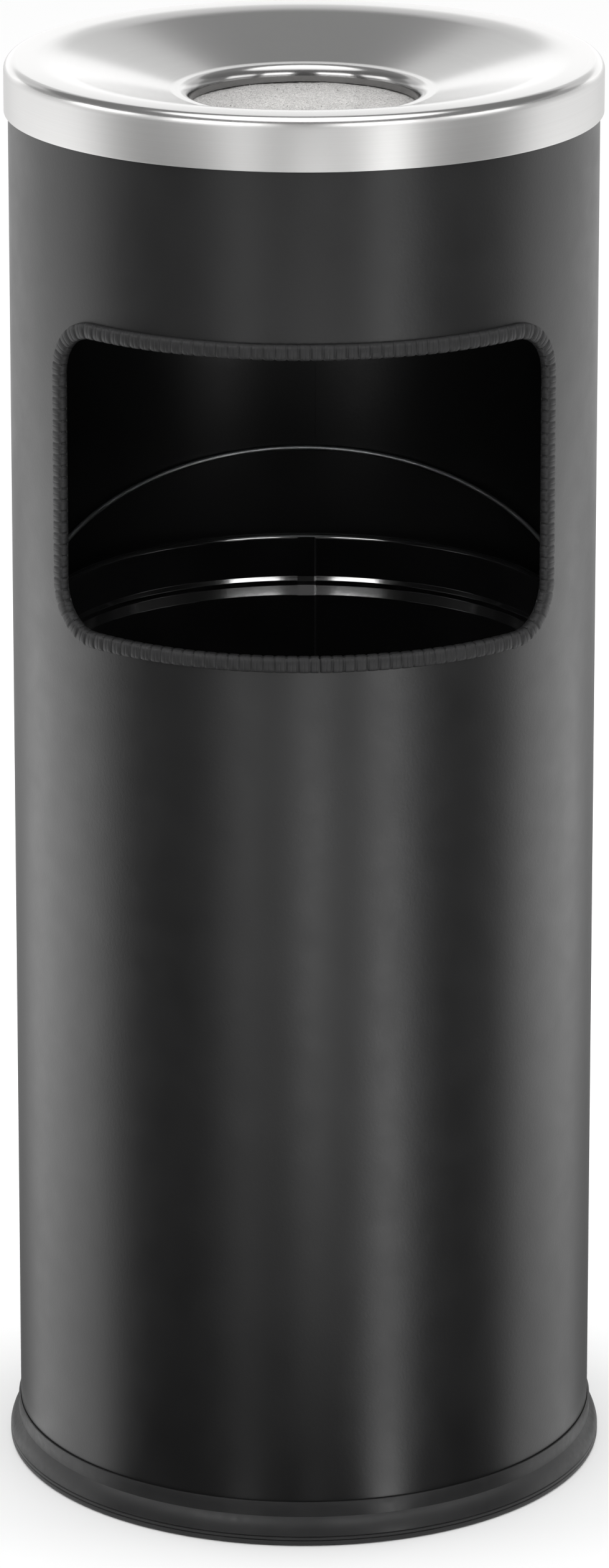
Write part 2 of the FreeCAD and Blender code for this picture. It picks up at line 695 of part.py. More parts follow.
def make_ear(doc, d, name, side):
    """Bridge-shaped ear riveted to the bucket: the bail's pin turns in its hole."""
    body = new_body(doc, name)
    sketch = new_sketch(body, f"{name}_plan", "XY_Plane")
    wall = d.bucket_upper + d.fit_gap
    steel = d.ear_steel
    foot = wall_drop(d, d.ear_bridge)
    heel = wall_drop(d, d.ear_flange)
    half = [
        (wall + heel, d.ear_flange),
        (wall + heel + steel, d.ear_flange),
        (wall + foot + steel, d.ear_bridge + steel),
        (wall + d.ear_stand + steel, d.ear_bridge),
    ]
    inner_half = [
        (wall + d.ear_stand, d.ear_bridge - steel),
        (wall + foot, d.ear_bridge),
    ]
    mirrored = [(x, y * -1) for x, y in reversed(half)]
    inner_mirrored = [(x, y * -1) for x, y in inner_half]
    outline(sketch, half + mirrored + list(reversed(inner_mirrored)) + inner_half)
    pad = body.newObject("PartDesign::Pad", f"{name}_pad")
    pad.Profile = sketch
    bind(pad, "Length", d.ear_height)
    doc.recompute()
    holes = new_sketch(body, f"{name}_holes", "YZ_Plane")
    middle = d.ear_height / 2
    pivot = d.pivot_height - d.ear_low
    spots = [
        (as_size(0), pivot, d.bail_wire + d.fit_gap),
        (d.rivet_spread, middle, d.rivet_shank + d.fit_gap / 2),
        (d.rivet_spread * -1, middle, d.rivet_shank + d.fit_gap / 2),
    ]
    for number, (across, up, radius) in enumerate(spots):
        holes.addGeometry(Part.Circle(Vector(across.value, up.value, 0), Vector(0, 0, 1), radius.value))
        index = holes.addConstraint(Constraint("Radius", number, radius.value))
        bind(holes, f"Constraints[{index}]", radius)
        if number == 0:
            holes.addConstraint(Constraint("PointOnObject", number, 3, -2))
        else:
            index = holes.addConstraint(Constraint("DistanceX", -1, 1, number, 3, across.value))
            bind(holes, f"Constraints[{index}]", across)
        index = holes.addConstraint(Constraint("DistanceY", -1, 1, number, 3, up.value))
        bind(holes, f"Constraints[{index}]", up)
    cut = body.newObject("PartDesign::Pocket", f"{name}_cut")
    cut.Profile = holes
    cut.Reversed = True
    bind(cut, "Length", d.bucket_upper + d.cut_reach)
    doc.recompute()
    turn = Rotation(Vector(0, 0, 1), 0 if side > 0 else 180)
    body.Placement = Placement(Vector(0, 0, d.ear_low.value), turn)
    bind(body, "Placement.Base.z", d.ear_low)
    return body


def make_rivets(doc, d):
    """Four solid rivets through the ears' flanges and the bucket's wall."""
    solids = []
    height = d.ear_low.value + d.ear_height.value / 2
    wall = math.sqrt(d.bucket_upper.value**2 - d.rivet_spread.value**2)
    inner_face = wall - d.bucket_steel.value - d.rivet_slack.value
    outer_face = wall + d.ear_steel.value + d.rivet_slack.value
    head = d.rivet_head_height.value
    for side in (-1, 1):
        for along in (-1, 1):
            direction = Vector(side, 0, 0)
            base = Vector(side * inner_face, along * d.rivet_spread.value, height)
            shank = Part.makeCylinder(d.rivet_shank.value, outer_face - inner_face, base, direction)
            outer = Part.makeCylinder(
                d.rivet_head.value, head, base + direction * (outer_face - inner_face), direction
            )
            inner = Part.makeCylinder(d.rivet_head.value, head, base - direction * head, direction)
            solids.append(shank.fuse([outer, inner]).removeSplitter())
    return feature(doc, "ear_rivets", Part.makeCompound(solids))


def make_bail(doc, d):
    """Wire bail handle, drawn upright over its pivot axis and then leant against the shell's back."""
    corner = d.bail_corner.value
    half, reach = d.bail_half_width.value, d.bail_reach.value
    head_at = d.bail_head_at.value
    crown = Part.Ellipse(Vector(0, reach, 0), Vector(-half, corner, 0), Vector(0, corner, 0))
    body = new_body(doc, "bail_handle")
    spine = new_sketch(body, "bail_route", "XZ_Plane")
    diagonal = corner * (1 - math.sqrt(0.5))
    right_pin = Part.LineSegment(Vector(head_at, 0, 0), Vector(half - corner, 0, 0))
    right_bend = Part.Arc(
        Vector(half - corner, 0, 0), Vector(half - diagonal, diagonal, 0), Vector(half, corner, 0)
    )
    left_bend = Part.Arc(
        Vector(-half, corner, 0), Vector(diagonal - half, diagonal, 0), Vector(corner - half, 0, 0)
    )
    left_pin = Part.LineSegment(Vector(corner - half, 0, 0), Vector(-head_at, 0, 0))
    arch = Part.ArcOfEllipse(
        crown, crown.parameter(Vector(half, corner, 0)), crown.parameter(Vector(-half, corner, 0))
    )
    route = (right_pin, right_bend, arch, left_bend, left_pin)
    for curve in route:
        spine.addGeometry(curve)
    doc.recompute()
    section = new_sketch(body, "bail_section", "YZ_Plane")
    section.AttachmentOffset = Placement(Vector(0, 0, head_at), Rotation())
    bind(section, "AttachmentOffset.Base.z", d.bail_head_at)
    section.addGeometry(Part.Circle(Vector(), Vector(0, 0, 1), d.bail_wire.value))
    index = section.addConstraint(Constraint("Radius", 0, d.bail_wire.value))
    bind(section, f"Constraints[{index}]", d.bail_wire)
    section.addConstraint(Constraint("Coincident", 0, 3, -1, 1))
    pipe = body.newObject("PartDesign::AdditivePipe", "bail_wire_run")
    pipe.Profile = section
    pipe.Spine = (spine, [f"Edge{number}" for number in range(1, len(route) + 1)])
    doc.recompute()
    for side in (-1, 1):
        name = f"bail_head_{'right' if side > 0 else 'left'}"
        disc = new_sketch(body, f"{name}_sketch", "YZ_Plane")
        disc.AttachmentOffset = Placement(Vector(0, 0, side * head_at), Rotation())
        bind(disc, "AttachmentOffset.Base.z", d.bail_head_at * side)
        disc.addGeometry(Part.Circle(Vector(), Vector(0, 0, 1), d.bail_head.value))
        index = disc.addConstraint(Constraint("Radius", 0, d.bail_head.value))
        bind(disc, f"Constraints[{index}]", d.bail_head)
        disc.addConstraint(Constraint("Coincident", 0, 3, -1, 1))
        upset = body.newObject("PartDesign::Pad", name)
        upset.Profile = disc
        upset.Reversed = side < 0
        bind(upset, "Length", d.bail_head_length)
        doc.recompute()
    lean = Rotation(Vector(1, 0, 0), -d.bail_lean.value)
    body.Placement = Placement(Vector(0, 0, d.pivot_height.value), lean)
    bind(body, "Placement.Base.z", d.pivot_height)
    return body


# ---------------------------------------------------------------------------------------------------
# Assembly and export
# ---------------------------------------------------------------------------------------------------
def make_all(doc):
    d = Dimensions(doc)
    nodes = [
        make_outer_shell(doc, d),
        make_seam_weld(doc, d),
        make_shell_floor(doc, d),
        make_floor_ring(doc, d),
        *make_trim(doc, d),
        make_lid(doc, d),
        make_ash_pan(doc, d),
        make_sand(doc, d),
        make_bucket_wall(doc, d),
        make_bucket_floor(doc, d),
        make_bucket_lap(doc, d),
        make_rim_wire(doc, d),
        make_ear(doc, d, "handle_ear_right", 1),
        make_ear(doc, d, "handle_ear_left", -1),
        make_rivets(doc, d),
        make_bail(doc, d),
    ]
    doc.recompute()
    return nodes


def check(doc, nodes):
    """Stops on an object that failed to compute and on a null or invalid shape."""
    for obj in doc.Objects:
        if "Invalid" in obj.State or "Error" in obj.State:
            raise RuntimeError(f"{obj.Name} failed: {obj.State}")
    for node in nodes:
        if node.Shape.isNull() or not node.Shape.isValid() or not node.Shape.Solids:
            raise RuntimeError(f"{node.Label} has no valid solid")


def export(nodes):
    os.makedirs(OUT_FOLDER, exist_ok=True)
    for node in nodes:
        node.Shape.exportStep(os.path.join(OUT_FOLDER, f"{node.Label}.step"))
        box = node.Shape.BoundBox
        print(
            f"{node.Label:20s} solids {len(node.Shape.Solids)}  volume {node.Shape.Volume:10.0f}"
            f"  z {box.ZMin:7.2f} to {box.ZMax:7.2f}"
        )


document = FreeCAD.newDocument("AshtrayBin")
parts = make_all(document)
check(document, parts)
export(parts)
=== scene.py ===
"""Ashtray bin: the visible pieces, their materials, the floor, the light and the camera.

Lengths in this file are millimetres until make_mesh() writes them in metres, except for the lights
and the camera, which are placed in metres.  A profile is a list of (radius, height) pairs.  Angles
round the column start at the front centre and grow towards +X.
"""

import math
import random

import bpy
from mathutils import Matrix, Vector, noise


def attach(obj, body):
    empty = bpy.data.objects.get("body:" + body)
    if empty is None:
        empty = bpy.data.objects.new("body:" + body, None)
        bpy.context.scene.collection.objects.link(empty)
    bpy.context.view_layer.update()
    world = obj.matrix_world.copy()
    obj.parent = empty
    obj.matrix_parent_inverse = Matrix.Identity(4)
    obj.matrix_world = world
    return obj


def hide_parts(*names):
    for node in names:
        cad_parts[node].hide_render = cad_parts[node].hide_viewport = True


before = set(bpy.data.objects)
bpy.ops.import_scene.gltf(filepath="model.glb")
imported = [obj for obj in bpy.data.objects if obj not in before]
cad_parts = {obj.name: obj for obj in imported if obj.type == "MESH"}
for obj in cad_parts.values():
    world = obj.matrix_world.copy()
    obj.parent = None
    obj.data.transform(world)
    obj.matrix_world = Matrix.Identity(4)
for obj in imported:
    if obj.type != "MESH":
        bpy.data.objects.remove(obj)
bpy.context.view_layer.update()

MM = 0.001
ROUND_STEPS = 320

# Column and lid
SHELL_OUT = 125.25
SHELL_IN = 124.45
SHELL_FOOT = 3.0
SHELL_TOP = 618.2

# Waste opening, cut in the shell
OPENING_HALF = SHELL_OUT * math.radians(53.5)
OPENING_LOW = 391.5
OPENING_HIGH = 520.2
OPENING_CORNER = 20.0

# Bucket: the bail's pivot, and the lap seam's joint line at the back
PIVOT_HEIGHT = 366.0
SEAM_X = 5.0
SEAM_HALF = 0.45

# Levelled sand and the bed it lies on
SAND_LEVEL = 598.3
SAND_EDGE = 119.0
# Its unevenness: height, size across and place in the noise
SAND_WAVES = ((0.40, 16.0, 0.3), (0.22, 3.2, 1.7), (0.12, 1.1, 4.9))


# ---------------------------------------------------------------------------------------------------
# Mesh helpers
# ---------------------------------------------------------------------------------------------------
def make_mesh(name, points, faces, sharp_angle=38.0):
    """A new object from points in millimetres, smooth except at edges sharper than the angle."""
    mesh = bpy.data.meshes.new(name)
    mesh.from_pydata([Vector(point) * MM for point in points], [], faces)
    mesh.validate()
    mesh.shade_smooth()
    mesh.set_sharp_from_angle(angle=math.radians(sharp_angle))
    piece = bpy.data.objects.new(name, mesh)
    bpy.context.scene.collection.objects.link(piece)
    return piece


def joined(name, parts, sharp_angle=38.0):
    """One object from several (points, faces) pairs."""
    points, faces = [], []
    for part_points, part_faces in parts:
        offset = len(points)
        points.extend(part_points)
        faces.extend(tuple(corner + offset for corner in face) for face in part_faces)
    return make_mesh(name, points, faces, sharp_angle)


def settle(piece, material, body, replaced=()):
    """Gives a piece its material and slot, and makes it ride on its body in place of CAD nodes."""
    piece.data.materials.append(material)
    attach(piece, body)
    if replaced:
        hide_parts(*replaced)


def softened(corners, steps=6):
    """A closed profile from (radius, height, rounding) corners, each rounded by an arc."""
    profile = []
    count = len(corners)
    for index, (radius, height, rounding) in enumerate(corners):
        here = Vector((radius, height))
        if rounding <= 0:
            profile.append(tuple(here))
            continue
        before = Vector(corners[index - 1][:2]) - here
        after = Vector(corners[(index + 1) % count][:2]) - here
        opening = before.angle(after)
        reach = rounding / math.tan(opening / 2)
        # The rounding stays within half of each side.
        reach = min(reach, before.length * 0.499, after.length * 0.499)
        true_rounding = reach * math.tan(opening / 2)
        centre = here + (before.normalized() + after.normalized()).normalized() * (
            true_rounding / math.sin(opening / 2)
        )
        start = here + before.normalized() * reach - centre
        end = here + after.normalized() * reach - centre
        turn = start.angle_signed(end)
        for step in range(steps + 1):
            angle = -turn * step / steps
            rotated = Vector((
                start.x * math.cos(angle) - start.y * math.sin(angle),
                start.x * math.sin(angle) + start.y * math.cos(angle),
            ))
            profile.append(tuple(centre + rotated))
    return profile


def ellipse_arc(centre, across, up, start, end, steps):
    """Corners of a profile along part of an ellipse, from start to end degrees, none of them rounded."""
    corners = []
    for step in range(steps + 1):
        angle = math.radians(start + (end - start) * step / steps)
        corners.append((centre[0] + across * math.cos(angle), centre[1] + up * math.sin(angle), 0))
    return corners


def lathe(profile, closed=True, turns=ROUND_STEPS):
    """Points and faces of a profile turned about Z; an open one may start or end on the axis."""
    points, rings = [], []
    for radius, height in profile:
        if radius < 1e-6:
            rings.append([len(points)] * turns)
            points.append((0.0, 0.0, height))
            continue
        rings.append(list(range(len(points), len(points) + turns)))
        for turn in range(turns):
            angle = 2 * math.pi * turn / turns
            points.append((radius * math.sin(angle), -radius * math.cos(angle), height))
    faces = []
    pairs = list(zip(rings, rings[1:] + rings[:1])) if closed else list(zip(rings, rings[1:]))
    for lower, upper in pairs:
        for turn in range(turns):
            following = (turn + 1) % turns
            corners = [lower[turn], lower[following], upper[following], upper[turn]]
            face = tuple(dict.fromkeys(corners))
            if len(face) > 2:
                faces.append(face)
    return points, faces


def tube(path, radii, sides=20):
    """Points and faces of a round bar along a path, with one radius for each point and closed ends."""
    points, faces = [], []
    path = [Vector(point) for point in path]
    across = None
    for index, here in enumerate(path):
        ahead = path[min(index + 1, len(path) - 1)] - path[max(index - 1, 0)]
        ahead.normalize()
        if across is None:
            across = ahead.orthogonal().normalized()
        across = (across - ahead * across.dot(ahead)).normalized()
        up = ahead.cross(across)
        for side in range(sides):
            angle = 2 * math.pi * side / sides
            points.append(here + (across * math.cos(angle) + up * math.sin(angle)) * radii[index])
    for ring in range(len(path) - 1):
        for side in range(sides):
            following = (side + 1) % sides
            low, high = ring * sides, (ring + 1) * sides
            faces.append((low + side, low + following, high + following, high + side))
    faces.append(tuple(reversed(range(sides))))
    faces.append(tuple(range(len(points) - sides, len(points))))
    return points, faces


def between(start, end, part):
    """The point at a part of the way from start to end."""
    return tuple(a + (b - a) * part for a, b in zip(start, end))


def on_column(arc, height, radius):
    """A point at an arc length round the shell, measured on its outer face."""
    angle = arc / SHELL_OUT
    return (radius * math.sin(angle), -radius * math.cos(angle), height)


# ---------------------------------------------------------------------------------------------------
# Outline of the waste opening, as a route with arc length, height and outward normal
# ---------------------------------------------------------------------------------------------------
class Outline:
    """The opening's rounded rectangle, walked from the bottom centre towards +X."""

    def __init__(self):
        self.middle = (OPENING_LOW + OPENING_HIGH) / 2
        self.half_width = OPENING_HALF
        self.half_height = (OPENING_HIGH - OPENING_LOW) / 2
        self.corner = OPENING_CORNER
        flat_width = self.half_width - self.corner
        flat_height = self.half_height - self.corner
        quarter = math.pi / 2 * self.corner
        self.runs = [
            flat_width, quarter, 2 * flat_height, quarter, 2 * flat_width, quarter,
            2 * flat_height, quarter, flat_width,
        ]
        self.length = sum(self.runs)

    def at(self, distance):
        """(arc, height, outward arc, outward height) at a distance along the outline."""
        distance %= self.length
        run = 0
        while run < len(self.runs) - 1 and distance > self.runs[run]:
            distance -= self.runs[run]
            run += 1
        flat_width = self.half_width - self.corner
        flat_height = self.half_height - self.corner
        if run % 2:
            number = (run - 1) // 2
            angle = -math.pi / 2 + number * math.pi / 2 + distance / self.corner
            side = (1, 1, -1, -1)[number]
            level = (-1, 1, 1, -1)[number]
            normal = (math.cos(angle), math.sin(angle))
            arc = side * flat_width + self.corner * normal[0]
            height = level * flat_height + self.corner * normal[1]
            return arc, self.middle + height, normal[0], normal[1]
        if run == 0:
            return distance, self.middle - self.half_height, 0.0, -1.0
        if run == 2:
            return self.half_width, self.middle - flat_height + distance, 1.0, 0.0
        if run == 4:
            return flat_width - distance, self.middle + self.half_height, 0.0, 1.0
        if run == 6:
            return -self.half_width, self.middle + flat_height - distance, -1.0, 0.0
        return distance - flat_width, self.middle - self.half_height, 0.0, -1.0

    def corner_middles(self):
        """Distances to the middle of each corner, from the lower right one round to the lower left."""
        middles, walked = [], 0.0
        for number, run in enumerate(self.runs):
            if number % 2:
                middles.append(walked + run / 2)
            walked += run
        return middles


outline = Outline()


# ---------------------------------------------------------------------------------------------------
# Materials
# ---------------------------------------------------------------------------------------------------
NOISE_ROUGHNESS = 0.55


class Finish:
    """A node material round one Principled shader, with helpers for texture that follows the object."""

    def __init__(self, name, colour, roughness, metallic=0.0, **constants):
        self.material = bpy.data.materials.new(name)
        self.material.use_nodes = True
        self.nodes = self.material.node_tree.nodes
        self.links = self.material.node_tree.links
        self.shader = self.nodes["Principled BSDF"]
        self.colour = colour
        self.shader.inputs["Base Color"].default_value = (*colour, 1.0)
        self.shader.inputs["Roughness"].default_value = roughness
        self.shader.inputs["Metallic"].default_value = metallic
        for socket, value in constants.items():
            self.shader.inputs[socket.replace("_", " ")].default_value = value
        self.place = self.node("ShaderNodeTexCoord").outputs["Object"]
        self.last_bump = None
        self.last_tint = None

    def node(self, kind, **settings):
        made = self.nodes.new(kind)
        for setting, value in settings.items():
            setattr(made, setting, value)
        return made

    def radius(self):
        """Distance from the column's axis, in metres."""
        flat = self.node("ShaderNodeVectorMath", operation="MULTIPLY")
        flat.inputs[1].default_value = (1.0, 1.0, 0.0)
        self.links.new(self.place, flat.inputs[0])
        length = self.node("ShaderNodeVectorMath", operation="LENGTH")
        self.links.new(flat.outputs[0], length.inputs[0])
        return length.outputs["Value"]

    def back_line(self, at, half):
        """1 on an upright line at the back of the column, at x millimetres, 0 elsewhere."""
        parts = self.node("ShaderNodeSeparateXYZ")
        self.links.new(self.place, parts.inputs[0])
        line = self.node("ShaderNodeMath", operation="COMPARE")
        line.inputs[1].default_value = at * MM
        line.inputs[2].default_value = half * MM
        self.links.new(parts.outputs["X"], line.inputs[0])
        behind = self.node("ShaderNodeMath", operation="GREATER_THAN")
        behind.inputs[1].default_value = 0.0
        self.links.new(parts.outputs["Y"], behind.inputs[0])
        both = self.node("ShaderNodeMath", operation="MULTIPLY")
        self.links.new(line.outputs[0], both.inputs[0])
        self.links.new(behind.outputs[0], both.inputs[1])
        return both.outputs[0]

    def rings(self, round_scale, across_scale):
        """Coordinates that change slowly round the column and fast across it, for turned marks."""
        turned = self.node("ShaderNodeVectorMath", operation="MULTIPLY")
        turned.inputs[1].default_value = (round_scale, round_scale, across_scale)
        self.links.new(self.place, turned.inputs[0])
        across = self.node("ShaderNodeMath", operation="MULTIPLY")
        across.inputs[1].default_value = across_scale
        self.links.new(self.radius(), across.inputs[0])
        outwards = self.node("ShaderNodeCombineXYZ")
        self.links.new(across.outputs[0], outwards.inputs["Z"])
        total = self.node("ShaderNodeVectorMath", operation="ADD")
        self.links.new(turned.outputs[0], total.inputs[0])
        self.links.new(outwards.outputs[0], total.inputs[1])
        return total.outputs[0]

    def noise(self, size, detail=3.0, vector=None):
        """Soft noise whose features are about size millimetres across, or in a vector's own units."""
        texture = self.node("ShaderNodeTexNoise")
        texture.inputs["Scale"].default_value = 1.0 / (size * MM) if vector is None else size
        texture.inputs["Detail"].default_value = detail
        texture.inputs["Roughness"].default_value = NOISE_ROUGHNESS
        self.links.new(vector or self.place, texture.inputs["Vector"])
        return texture.outputs["Fac"]

    def cells(self, size, output="Distance"):
        """Cells about size millimetres across."""
        texture = self.node("ShaderNodeTexVoronoi", feature="F1")
        texture.inputs["Scale"].default_value = 1.0 / (size * MM)
        self.links.new(self.place, texture.inputs["Vector"])
        return texture.outputs[output]

    def spread(self, source, low, high, from_low=0.3, from_high=0.7):
        """Maps a texture's values on to low to high."""
        reach = self.node("ShaderNodeMapRange")
        reach.inputs["From Min"].default_value = from_low
        reach.inputs["From Max"].default_value = from_high
        reach.inputs["To Min"].default_value = low
        reach.inputs["To Max"].default_value = high
        self.links.new(source, reach.inputs["Value"])
        return reach.outputs["Result"]

    def tint(self, source, low, high, from_low=0.3, from_high=0.7):
        """Multiplies the base colour, or what an earlier tint made of it, by a factor from low to high."""
        blend = self.node("ShaderNodeMix", data_type="RGBA", blend_type="MULTIPLY")
        blend.inputs["Factor"].default_value = 1.0
        before, factor = [socket for socket in blend.inputs if socket.type == "RGBA"]
        before.default_value = (*self.colour, 1.0)
        if self.last_tint is not None:
            self.links.new(self.last_tint, before)
        self.links.new(self.spread(source, low, high, from_low, from_high), factor)
        self.last_tint = next(socket for socket in blend.outputs if socket.type == "RGBA")
        self.links.new(self.last_tint, self.shader.inputs["Base Color"])
        return self

    def matt(self, source, low, high, from_low=0.3, from_high=0.7):
        """Varies the roughness from low to high."""
        self.links.new(
            self.spread(source, low, high, from_low, from_high), self.shader.inputs["Roughness"]
        )
        return self

    def bump(self, source, height):
        """Adds relief of about height millimetres on top of what is there."""
        relief = self.node("ShaderNodeBump")
        relief.inputs["Strength"].default_value = 1.0
        relief.inputs["Distance"].default_value = height * MM
        self.links.new(source, relief.inputs["Height"])
        if self.last_bump is not None:
            self.links.new(self.last_bump, relief.inputs["Normal"])
        self.last_bump = relief.outputs["Normal"]
        self.links.new(self.last_bump, self.shader.inputs["Normal"])
        return self

    def turned_grain(self):
        """Makes an anisotropic finish run round the column."""
        direction = self.node("ShaderNodeTangent", direction_type="RADIAL", axis="Z")
        self.links.new(direction.outputs["Tangent"], self.shader.inputs["Tangent"])
        return self


def satin_black():
    finish = Finish("satin_black_powder_coat", (0.0042, 0.0042, 0.0044), 0.36, IOR=1.5)
    finish.tint(finish.noise(30.0), 0.85, 1.25)
    finish.matt(finish.noise(14.0, detail=4.0), 0.345, 0.39)
    finish.bump(finish.noise(1.3, detail=2.0), 0.030)
    finish.bump(finish.noise(0.45, detail=1.0), 0.010)
    return finish.material


def gloss_black(name, seamed=False):
    """Black enamel; a seamed one has a duller line at the back, where the bucket's wall laps."""
    finish = Finish(name, (0.012, 0.012, 0.0124), 0.11, IOR=2.0, Specular_IOR_Level=1.0)
    finish.tint(finish.noise(22.0), 0.8, 1.3)
    if seamed:
        finish.matt(finish.back_line(SEAM_X, SEAM_HALF), 0.11, 0.26, 0.0, 1.0)
    else:
        finish.matt(finish.noise(9.0, detail=4.0), 0.09, 0.14)
    finish.bump(finish.noise(3.0, detail=1.0), 0.010)
    return finish.material


def ribbed_rubber():
    finish = Finish(
        "ribbed_trim_rubber", (0.010, 0.010, 0.0105), 0.5, IOR=1.5, Specular_IOR_Level=0.36
    )
    finish.tint(finish.noise(4.0, detail=5.0), 0.8, 1.35)
    finish.matt(finish.noise(2.0, detail=4.0), 0.46, 0.58)
    finish.bump(finish.noise(0.5, detail=2.0), 0.008)
    return finish.material


def brushed_stainless():
    """Stainless steel with its grain round the lid, and painted shade darkening the neck of the ash hole.
    """
    finish = Finish("brushed_stainless", (0.61, 0.605, 0.60), 0.2, metallic=1.0, Anisotropic=0.5)
    finish.shader.inputs["Anisotropic Rotation"].default_value = 0.25
    grain = finish.noise(1.0, detail=3.0, vector=finish.rings(7.0, 2200.0))
    finish.tint(grain, 0.975, 1.015)
    # Painted shade: the metal's colour falls to 0.42 inside the hole's neck, below a radius of about 49 to
    # 51 mm.
    finish.tint(finish.radius(), 0.42, 1.0, 0.0486, 0.0512)
    finish.matt(finish.radius(), 0.19, 0.42, 0.1262, 0.1269)
    finish.bump(grain, 0.0004)
    finish.turned_grain()
    return finish.material


def galvanised():
    finish = Finish("galvanised_sheet", (0.52, 0.54, 0.55), 0.38, metallic=1.0)
    finish.tint(finish.cells(9.0, output="Color"), 0.78, 1.12, 0.1, 0.9)
    finish.matt(finish.noise(5.0, detail=4.0), 0.30, 0.48)
    finish.bump(finish.noise(2.0, detail=3.0), 0.010)
    return finish.material


def quartz_sand():
    finish = Finish("dry_quartz_sand", (0.53, 0.52, 0.51), 0.85, IOR=1.45)
    finish.tint(finish.cells(0.45, output="Color"), 0.55, 1.25, 0.05, 0.95)
    finish.tint(finish.noise(7.0, detail=4.0), 0.90, 1.05)
    # Painted shade from the lid's neck: the sand's colour falls from the middle to 0.78 at a radius of 49
    # mm.
    finish.tint(finish.radius(), 1.0, 0.78, 0.014, 0.049)
    finish.matt(finish.noise(0.8), 0.7, 0.95)
    finish.bump(finish.cells(0.45), 0.22)
    finish.bump(finish.noise(1.6, detail=3.0), 0.12)
    return finish.material


def plain_metal(name, colour, roughness):
    """Drawn or stamped metal with faint cloudy marks."""
    finish = Finish(name, colour, roughness, metallic=1.0)
    finish.tint(finish.noise(12.0, detail=3.0), 0.92, 1.06)
    finish.matt(finish.noise(9.0, detail=3.0), roughness * 0.9, roughness * 1.15)
    return finish.material


def moulded_plastic():
    finish = Finish(
        "moulded_black_plastic", (0.0110, 0.0110, 0.0114), 0.42, IOR=1.5, Specular_IOR_Level=0.38
    )
    finish.tint(finish.noise(18.0), 0.85, 1.25)
    finish.matt(finish.noise(3.0, detail=5.0), 0.38, 0.48)
    finish.bump(finish.noise(0.7, detail=2.0), 0.010)
    return finish.material


def pale_floor():
    finish = Finish("pale_floor", (0.93, 0.93, 0.93), 0.6, Specular_IOR_Level=0.0)
    finish.matt(finish.noise(60.0), 0.55, 0.65)
    return finish.material


COAT = satin_black()
GLOSS = gloss_black("gloss_black_enamel")
GLOSS_WALL = gloss_black("gloss_black_enamel_wall", seamed=True)
RUBBER = ribbed_rubber()
STAINLESS = brushed_stainless()
GALVANISED = galvanised()
SAND = quartz_sand()
PLASTIC = moulded_plastic()
WIRE = plain_metal("zinc_plated_wire", (0.60, 0.61, 0.62), 0.36)
PLATE = plain_metal("zinc_plated_ear", (0.55, 0.56, 0.57), 0.34)
RIVET = plain_metal("plain_aluminium", (0.74, 0.74, 0.74), 0.38)
# Painted shade: the carrier steel is near black so the gap at the trim's butt joint shows dark. The rim
# wire hidden in the roll shares it.
SHADE_DARK_STEEL = plain_metal("steel_darkened_as_painted_shade", (0.05, 0.05, 0.05), 0.50)


# ---------------------------------------------------------------------------------------------------
# Shell
# ---------------------------------------------------------------------------------------------------
def shell_sheet():
    """Faces of the shell's sheet in (arc, height), with the opening left out.

    Rings of faces lead from the opening's edge out to a rectangular patch.  Bands below and above the
    patch follow, and then the rest of the girth.
    """
    margin = 16.0
    patch_half = OPENING_HALF + margin
    patch_low, patch_high = OPENING_LOW - margin, OPENING_HIGH + margin
    across_steps, up_steps, ring_steps = 96, 40, 5
    columns = [patch_half * (2 * i / across_steps - 1) for i in range(across_steps + 1)]
    rows = [patch_low + (patch_high - patch_low) * i / up_steps for i in range(up_steps + 1)]
    border = (
        [(patch_half, z) for z in rows[:-1]]
        + [(s, patch_high) for s in reversed(columns[1:])]
        + [(-patch_half, z) for z in reversed(rows[1:])]
        + [(s, patch_low) for s in columns[:-1]]
    )
    starts = outline.corner_middles()
    ends = starts[1:] + [starts[0] + outline.length]
    edge = []
    for start, end, steps in zip(starts, ends, (up_steps, across_steps, up_steps, across_steps)):
        for step in range(steps):
            edge.append(outline.at(start + (end - start) * step / steps)[:2])
    quads = []
    count = len(border)
    for ring in range(ring_steps):
        inner, outer = ring / ring_steps, (ring + 1) / ring_steps
        for index in range(count):
            following = (index + 1) % count
            quads.append([
                between(edge[index], border[index], inner),
                between(edge[index], border[index], outer),
                between(edge[following], border[following], outer),
                between(edge[following], border[following], inner),
            ])
    for low, high in ((SHELL_FOOT, patch_low), (patch_high, SHELL_TOP)):
        for left, right in zip(columns, columns[1:]):
            quads.append([(left, low), (right, low), (right, high), (left, high)])
    back_length = 2 * math.pi * SHELL_OUT - 2 * patch_half
    back_steps = 200
    back = [patch_half + back_length * i / back_steps for i in range(back_steps + 1)]
    levels = [SHELL_FOOT, *rows, SHELL_TOP]
    for left, right in zip(back, back[1:]):
        for low, high in zip(levels, levels[1:]):
            quads.append([(left, low), (right, low), (right, high), (left, high)])
    return quads


def make_shell():
    """Both faces of the sheet and its cut edges, as one closed mesh."""
    girth = 2 * math.pi * SHELL_OUT
    index_of, flat = {}, []
    faces = []
    for quad in shell_sheet():
        corners = []
        for arc, height in quad:
            # Neighbouring faces share their points, also where the girth closes.
            key = (round(arc % girth, 3) % round(girth, 3), round(height, 3))
            if key not in index_of:
                index_of[key] = len(flat)
                flat.append((arc, height))
            corners.append(index_of[key])
        faces.append(tuple(corners))
    count = len(flat)
    points = [on_column(arc, height, SHELL_OUT) for arc, height in flat]
    points += [on_column(arc, height, SHELL_IN) for arc, height in flat]
    edges = [edge for face in faces for edge in zip(face, face[1:] + face[:1])]
    known = set(edges)
    walls = [
        (start, start + count, end + count, end)
        for start, end in edges
        if (end, start) not in known
    ]
    inner = [tuple(corner + count for corner in reversed(face)) for face in faces]
    return make_mesh("shell_sheet", points, faces + inner + walls)


settle(make_shell(), COAT, "shell", ("outer_shell",))


